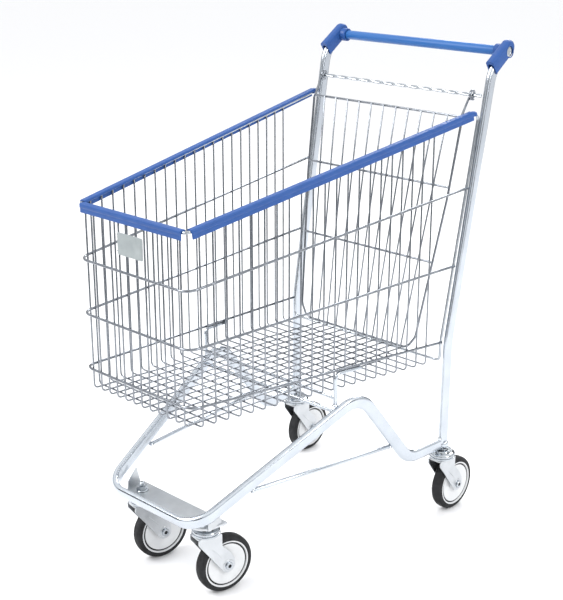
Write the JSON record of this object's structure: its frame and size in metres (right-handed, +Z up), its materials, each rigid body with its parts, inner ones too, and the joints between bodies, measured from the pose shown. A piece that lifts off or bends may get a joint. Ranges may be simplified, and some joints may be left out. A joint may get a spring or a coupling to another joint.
{
  "type": "rolling basket trolley",
  "caption": "Wire basket on a bent tube frame with a plastic push handle between rear posts, a rear gate that swings into the basket, and swivelling casters.",
  "frame": {"origin": "centre of the bounding box at floor height, where the tyres touch the floor", "axes": "+Z up, +Y towards the handle and the person who pushes, +X to that person's left as they face the basket"},
  "size_m": [0.5132, 0.8778, 1.0618],
  "materials": {
    "wire": "bright zinc-plated wire with a clear coat",
    "zinc": "bright zinc-plated tube with a clear coat",
    "bright": "bright zinc plating",
    "fork": "pressed steel, zinc plated, satin",
    "profile": "blue moulded plastic, fine satin grain",
    "grip": "blue extruded plastic sleeve, satin",
    "tag": "pale grey, satin, blank",
    "hub": "pale grey moulded plastic, satin",
    "tyre": "dark grey rubber, matt"
  },
  "bodies": {
    "frame": {"basket_floor": "wire", "basket_grille_front": "wire", "basket_grille_left": "wire", "basket_grille_right": "wire", "basket_support_frame": "zinc", "chassis_tube": "zinc", "edge_wire": "bright", "front_caster_plate": "zinc", "front_left_stem": "bright", "front_right_stem": "bright", "gate_hinge_bar": "bright", "handle_bracket_left": "profile", "handle_bracket_right": "profile", "handle_grip": "grip", "handle_plug_left": "bright", "handle_plug_right": "bright", "handle_tube": "zinc", "rail_cross_rod": "zinc", "rear_left_stem": "bright", "rear_post_left": "zinc", "rear_post_right": "zinc", "rear_right_stem": "bright", "rim_profile_front": "profile", "rim_profile_left": "profile", "rim_profile_right": "profile", "tag_plate": "tag", "tie_rod_left": "zinc", "tie_rod_right": "zinc"},
    "front_right_swivel": {"front_right_fork": "fork", "front_right_axle_bolt": "bright", "front_right_swivel_head": "bright"},
    "front_right_wheel": {"front_right_tyre": "tyre", "front_right_hub": "hub"},
    "front_left_swivel": {"front_left_fork": "fork", "front_left_axle_bolt": "bright", "front_left_swivel_head": "bright"},
    "front_left_wheel": {"front_left_tyre": "tyre", "front_left_hub": "hub"},
    "rear_right_swivel": {"rear_right_fork": "fork", "rear_right_axle_bolt": "bright", "rear_right_swivel_head": "bright"},
    "rear_right_wheel": {"rear_right_tyre": "tyre", "rear_right_hub": "hub"},
    "rear_left_swivel": {"rear_left_fork": "fork", "rear_left_axle_bolt": "bright", "rear_left_swivel_head": "bright"},
    "rear_left_wheel": {"rear_left_tyre": "tyre", "rear_left_hub": "hub"},
    "gate": {"gate": "wire"}
  },
  "joints": [
    {"name": "front_right_swivel", "type": "hinge", "parent": "frame", "child": "front_right_swivel", "pos_m": [0.0987, -0.3498, 0.141], "axis": [0, 0, 1], "continuous": true},
    {"name": "front_right_wheel_spin", "type": "hinge", "parent": "front_right_swivel", "child": "front_right_wheel", "pos_m": [0.10652, -0.30955, 0.0625], "axis": [0.9816, -0.1908, 0], "continuous": true},
    {"name": "front_left_swivel", "type": "hinge", "parent": "frame", "child": "front_left_swivel", "pos_m": [-0.0987, -0.3498, 0.141], "axis": [0, 0, 1], "continuous": true},
    {"name": "front_left_wheel_spin", "type": "hinge", "parent": "front_left_swivel", "child": "front_left_wheel", "pos_m": [-0.09088, -0.30955, 0.0625], "axis": [0.9816, -0.1908, 0], "continuous": true},
    {"name": "rear_right_swivel", "type": "hinge", "parent": "frame", "child": "rear_right_swivel", "pos_m": [0.2276, 0.2633, 0.141], "axis": [0, 0, 1], "continuous": true},
    {"name": "rear_right_wheel_spin", "type": "hinge", "parent": "rear_right_swivel", "child": "rear_right_wheel", "pos_m": [0.2276, 0.3043, 0.0625], "axis": [1, 0, 0], "continuous": true},
    {"name": "rear_left_swivel", "type": "hinge", "parent": "frame", "child": "rear_left_swivel", "pos_m": [-0.2276, 0.2633, 0.141], "axis": [0, 0, 1], "continuous": true},
    {"name": "rear_left_wheel_spin", "type": "hinge", "parent": "rear_left_swivel", "child": "rear_left_wheel", "pos_m": [-0.2276, 0.3043, 0.0625], "axis": [1, 0, 0], "continuous": true},
    {"name": "gate_swing", "type": "hinge", "parent": "frame", "child": "gate", "pos_m": [0, 0.3439, 0.9534], "axis": [-1, 0, 0], "range_deg": [0, 42]}
  ]
}
